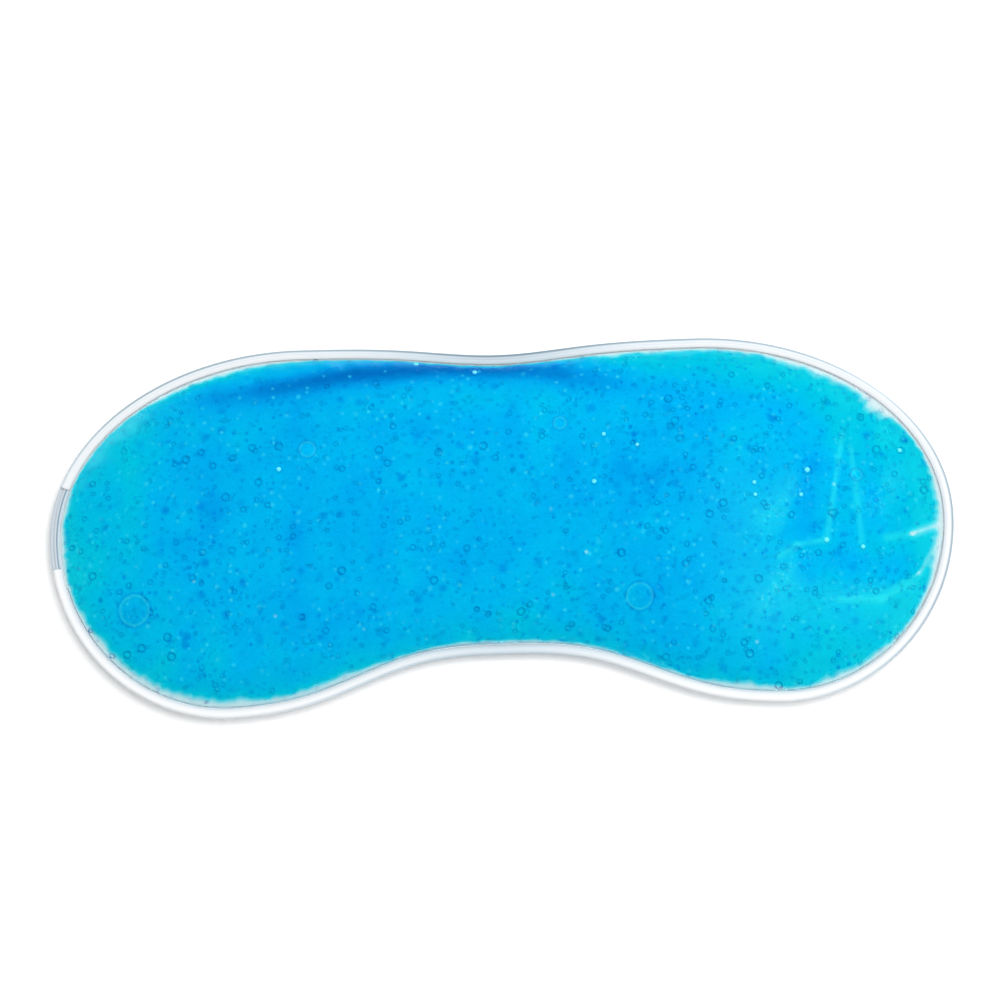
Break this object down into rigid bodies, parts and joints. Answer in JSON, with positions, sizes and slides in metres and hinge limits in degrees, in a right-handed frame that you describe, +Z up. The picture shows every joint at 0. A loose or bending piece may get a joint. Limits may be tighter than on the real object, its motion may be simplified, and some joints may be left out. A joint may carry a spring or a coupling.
{
  "type": "gel eye pillow",
  "caption": "Gel-filled eye pillow: a clear film pouch shaped like a two-lobed mask, welded round its edge, that bends over the nose.",
  "frame": {"origin": "middle of the underside of the pillow, on the surface it lies on", "axes": "+X along the pillow to the wearer's temple without the filling port, +Y to the brow, +Z up through the front film"},
  "size_m": [0.1998, 0.0823, 0.0126],
  "materials": {
    "clear_film": "clear, glossy, flexible vinyl film",
    "blue_gel": "translucent blue gel with small air bubbles",
    "welded_film": "clear vinyl, two layers welded into a rounded band",
    "port_weld": "clear vinyl, welded a second time, slightly greyer"
  },
  "bodies": {
    "left_lobe": {"front_film_left": "clear_film", "back_film_left": "clear_film", "gel_left": "blue_gel", "rim_weld_left_brow": "welded_film", "rim_weld_left_cheek": "welded_film", "fill_port_seal": "port_weld", "front_film_bridge": "clear_film", "back_film_bridge": "clear_film", "gel_bridge": "blue_gel", "rim_weld_bridge_brow": "welded_film", "rim_weld_bridge_cheek": "welded_film"},
    "right_lobe": {"front_film_right": "clear_film", "back_film_right": "clear_film", "gel_right": "blue_gel", "rim_weld_right": "welded_film"}
  },
  "joints": [
    {"name": "bridge_bend", "type": "hinge", "parent": "left_lobe", "child": "right_lobe", "pos_m": [0, 0, 0.005], "axis": [0, -1, 0], "range_deg": [-120, 120], "deforming": ["front_film_bridge", "back_film_bridge", "gel_bridge", "rim_weld_bridge_brow", "rim_weld_bridge_cheek"]}
  ]
}
